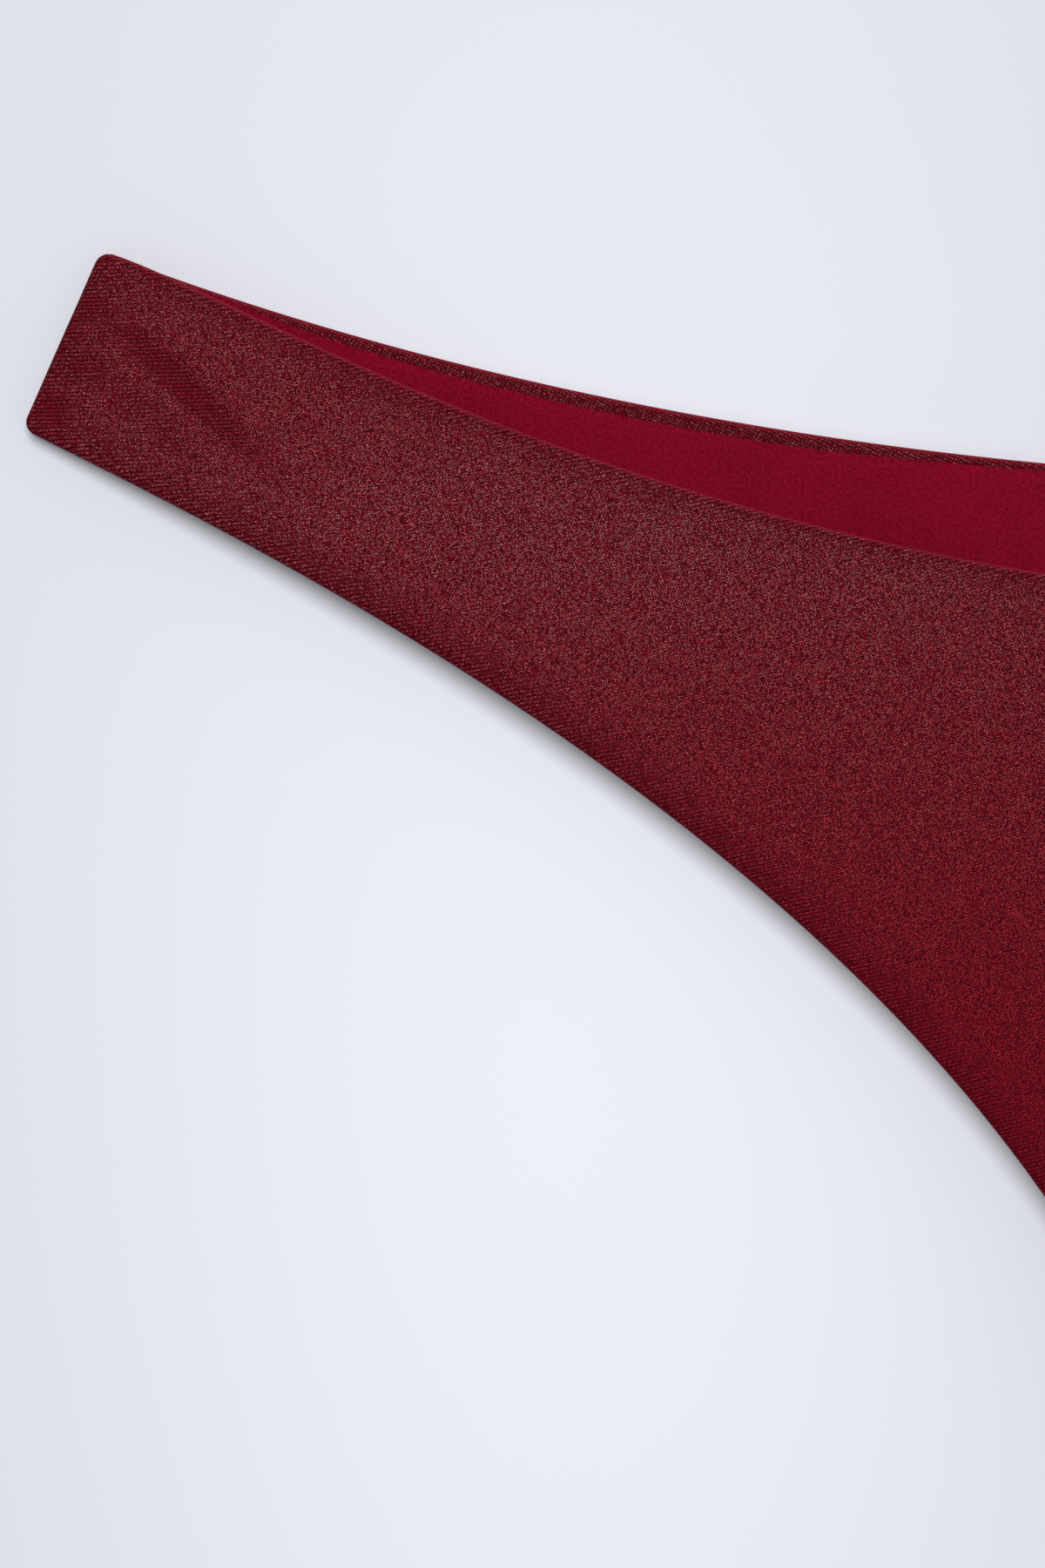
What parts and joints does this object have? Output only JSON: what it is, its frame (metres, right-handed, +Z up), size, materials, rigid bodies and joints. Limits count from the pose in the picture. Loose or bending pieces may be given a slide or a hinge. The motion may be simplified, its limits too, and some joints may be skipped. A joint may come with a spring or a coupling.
{
  "type": "bikini bottom",
  "caption": "Low-rise bikini bottom laid flat: shimmer rib shell over a plain knit lining, turned-in elasticated waist and leg edges, scooped front waist, high-cut legs.",
  "frame": {"origin": "under the middle of the garment as it lies flat, on the surface it lies on", "axes": "+X across the width towards the wearer's left side seam, +Y towards the waist, +Z up out of the front"},
  "size_m": [0.3382, 0.1909, 0.0104],
  "materials": {
    "shell_cloth": "wine red stretch rib knit with a fine metallic shimmer",
    "lining_cloth": "matte crimson tricot lining",
    "gusset_cloth": "matte crimson tricot lining",
    "elastic": "natural flat swimwear elastic",
    "overlock_thread": "soft bulked polyester thread",
    "label_satin": "blank white woven satin"
  },
  "bodies": {
    "root": {"front_shell": "shell_cloth", "back_shell": "shell_cloth", "front_lining": "lining_cloth", "back_lining": "lining_cloth", "gusset_lining": "gusset_cloth", "front_waist_elastic": "elastic", "back_waist_elastic": "elastic", "front_leg_elastic_left": "elastic", "front_leg_elastic_right": "elastic", "back_leg_elastic_left": "elastic", "back_leg_elastic_right": "elastic", "side_overlock_left": "overlock_thread", "side_overlock_right": "overlock_thread", "crotch_overlock": "overlock_thread", "care_label": "label_satin"}
  },
  "joints": []
}
